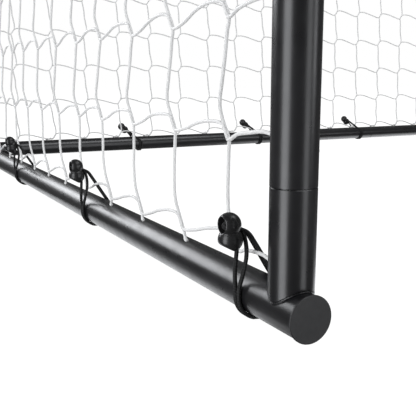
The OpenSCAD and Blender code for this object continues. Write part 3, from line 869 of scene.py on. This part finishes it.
def loops(stem, frames, lean, seed):
    """All the elastic loops of one CAD node, as one piece, each with its knot."""
    sweep = Sweep()
    rng = random.Random(seed)
    for m in frames:
        side = tuple(m.to_3x3() @ Vector((0, 1, 0)))
        for path in loop_paths(lean, rng):
            sweep.add(placed(m, smooth(path, 3.2)), CORD_R, side, 10)
        knot = np.array([tuple(leaned(p, lean)) for p in knot_path()])
        axis = tuple(m.to_3x3() @ Vector((1, 0, 0)))
        sweep.add(placed(m, knot), KNOT_CORD_R, axis, 10, closed=True)
    name = stem + "_elastic"
    mesh = sweep.mesh(name, ELASTIC, flattened="ground" in stem)
    show(name, mesh, "elastic_cord", stem + "_loops")


for number, (stem, frames) in enumerate(tie_frames().items()):
    lean = REAR_LEAN if stem == "rear_ground" else 0
    toggles(stem, frames, lean)
    loops(stem, frames, lean, 70 + number)


# ---------- weld beads ----------


def weld(sweep, corner, along, out):
    """A thin coated bead round a mitred stub's foot, which shares part of it with its neighbour."""
    corner, along, out = (np.array(v, float) for v in (corner, along, out))
    beside = np.array((0.0, 1.0, 0.0))
    t = np.linspace(0, 2 * math.pi, 120, endpoint=False)
    height = np.maximum(np.abs(np.sin(t)), np.cos(t)) * TUBE_R
    ripple = 0.85 + 0.12 * np.sin(37 * t)
    r = TUBE_R + 0.1
    path = (
        corner
        + r * np.cos(t)[:, None] * out
        + r * np.sin(t)[:, None] * beside
        + height[:, None] * along
    )
    sweep.add(path, ripple, tuple(along * 0.31 + out * 0.17 + beside * 0.93), 6, closed=True)


def coped_stub(sign):
    """The front post's stub: its saddle stands off the ground tube, and a fillet weld fills the gap."""
    stem = "left" if sign < 0 else "right"
    node = stem + "_front_post_stub"
    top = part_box(node)[1].z / MM
    n = 144
    t = np.linspace(0, 2 * math.pi, n, endpoint=False)

    def ring(radius, height):
        return np.stack([radius * np.cos(t), radius * np.sin(t), np.broadcast_to(height, t.shape)], 1)

    def saddle(radius):
        return np.sqrt(COPE_R**2 - (radius * np.cos(t)) ** 2)

    length, bore, centre = top - GROUND_Z, TUBE_R - TUBE_WALL, np.array([sign * SIDE_X, FRONT_Y, GROUND_Z])
    low = saddle(TUBE_R)
    foot = TUBE_R - 1.3
    rows = [ring(foot, np.sqrt(TUBE_R**2 - (foot * np.cos(t)) ** 2)), ring(foot + 0.1, low - 0.2)]
    rows += [ring(TUBE_R - 0.4, low), ring(TUBE_R, low + 0.4)]
    rows += [ring(TUBE_R, low + 0.4 + (length - 0.9 - low) * f) for f in (0.1, 0.4, 0.7, 1)]
    rows += [ring(TUBE_R - 0.5, length), ring(bore, length), ring(bore, saddle(bore))]
    verts = np.vstack(rows) + centre
    m = len(rows)
    faces = [
        (r * n + k, r * n + (k + 1) % n, (r + 1) % m * n + (k + 1) % n, (r + 1) % m * n + k)
        for r in range(m)
        for k in range(n)
    ]
    name = stem + "_front_post_stub_coped"
    mesh = plain_mesh(name, verts, faces, COAT)
    mesh.set_sharp_from_angle(angle=math.radians(35))
    show(name, mesh, "powder_coated_steel", node)
    sweep = Sweep()
    path = ring(foot, np.sqrt((COPE_R - 1.6) ** 2 - (foot * np.cos(t)) ** 2))
    ripple = 1.0 + 0.1 * np.sin(41 * t)
    sweep.add(path + centre, ripple, (0.31, 0.17, 0.93), 8, closed=True)
    name = stem + "_front_post_weld"
    show(name, sweep.mesh(name, COAT), "powder_coated_steel")


def welds():
    """Both front stubs, and the beads of every other stub on the side frames."""
    sweep = Sweep()
    for sign in (-1, 1):
        inward = (-sign, 0, 0)
        coped_stub(sign)
        weld(sweep, (sign * SIDE_X, REAR_Y, GROUND_Z), (0, 0, 1), inward)
        weld(sweep, (sign * SIDE_X, REAR_Y, GROUND_Z), inward, (0, 0, 1))
        for y in (FRONT_Y, REAR_Y):
            weld(sweep, (sign * SIDE_X, y, TOP_Z), (0, 0, -1), inward)
            weld(sweep, (sign * SIDE_X, y, TOP_Z), inward, (0, 0, -1))
    show("weld_beads", sweep.mesh("weld_beads", COAT), "powder_coated_steel")


welds()


# ---------- studio ----------


def floor():
    """A plain pale floor, lit through from below like a photographer's light table."""
    mat, shader, add, join = new_material("studio_floor")
    coords = add("ShaderNodeTexCoord").outputs["Object"]
    join(two_tone(add, join, noise(add, join, coords, 3, 2), (0.1, 0.1, 0.1), (0.11, 0.11, 0.11)),
         shader.inputs["Base Color"])
    shader.inputs["Roughness"].default_value = 0.9
    shader.inputs["Emission Color"].default_value = (1, 1, 1, 1)
    shader.inputs["Emission Strength"].default_value = 0.98
    mesh = bpy.data.meshes.new("studio_floor")
    size, z = 14, -0.0006
    corners = [(-size, -size, z), (size, -size, z), (size, size, z), (-size, size, z)]
    mesh.from_pydata(corners, [], [(0, 1, 2, 3)])
    mesh.materials.append(mat)
    obj = bpy.data.objects.new("studio_floor", mesh)
    bpy.context.scene.collection.objects.link(obj)
    obj.visible_glossy = obj.visible_diffuse = obj.visible_shadow = False


def world():
    """White behind the object, soft on the nets and dim in the coat, so that the tubes keep dark edges."""
    w = bpy.data.worlds.new("studio")
    bpy.context.scene.world = w
    w.use_nodes = True
    nodes, links = w.node_tree.nodes, w.node_tree.links
    dim, white = nodes["Background"], nodes.new("ShaderNodeBackground")
    dim.inputs["Color"].default_value = (1, 1, 1, 1)
    ray = nodes.new("ShaderNodeLightPath")
    level = nodes.new("ShaderNodeMapRange")
    level.inputs["To Min"].default_value, level.inputs["To Max"].default_value = 0.1, 0.5
    links.new(ray.outputs["Is Diffuse Ray"], level.inputs["Value"])
    links.new(level.outputs["Result"], dim.inputs["Strength"])
    white.inputs["Color"].default_value = (1, 1, 1, 1)
    white.inputs["Strength"].default_value = 1.0
    mix = nodes.new("ShaderNodeMixShader")
    links.new(ray.outputs["Is Camera Ray"], mix.inputs["Fac"])
    links.new(dim.outputs[0], mix.inputs[1])
    links.new(white.outputs[0], mix.inputs[2])
    links.new(mix.outputs[0], nodes["World Output"].inputs["Surface"])


def softbox(name, place, target, width, height, power):
    """A slightly cool area light; sizes in metres, power in watts."""
    data = bpy.data.lights.new(name, "AREA")
    data.shape, data.size, data.size_y, data.energy = "RECTANGLE", width, height, power
    data.color = (0.955, 0.97, 1.0)
    obj = bpy.data.objects.new(name, data)
    obj.location = place
    obj.rotation_euler = (Vector(target) - Vector(place)).to_track_quat("-Z", "Y").to_euler()
    bpy.context.scene.collection.objects.link(obj)


def camera():
    """The photograph's view of the lower front left corner."""
    data = bpy.data.cameras.new("camera")
    data.lens, data.sensor_width = 57.96, 36
    data.clip_start, data.clip_end = 0.01, 60
    obj = bpy.data.objects.new("camera", data)
    obj.location = (-1.8144, -1.2717, 0.2279)
    obj.rotation_euler = Euler((math.radians(90 - 10.82), 0, math.radians(-27.99)))
    bpy.context.scene.collection.objects.link(obj)
    bpy.context.scene.camera = obj


# Name, place, what it faces, width, height and power
SOFTBOXES = (
    ("left", (-4.62, -1.36, 0.4), (-1.5, -0.8, 0.4), 2.0, 4.5, 130),
    ("front", (0.12, -4.5, 0.4), (-1.5, -0.8, 0.4), 1.7, 4.5, 50),
    ("below", (-1.3, 4.0, -2.2), (-1.5, -0.4, 0.0), 3.2, 2.4, 36),
    ("below_rear", (2.1, 1.1, -2.2), (0.0, 0.8, 0.0), 3.2, 2.4, 58),
    ("right", (2.1, -3.3, 0.7), (-0.5, 0.8, 0.05), 1.3, 1.4, 18),
    ("back", (-3.1, 4.0, 1.9), (-1.5, -0.4, 0.0), 3.0, 1.9, 110),
    ("overhead", (0.3, -1.7, 4.2), (-1.0, 0.4, 0.3), 3.4, 1.8, 90),
)

floor()
world()
for box in SOFTBOXES:
    softbox(*box)
camera()
bpy.context.scene.view_settings.view_transform = "Standard"
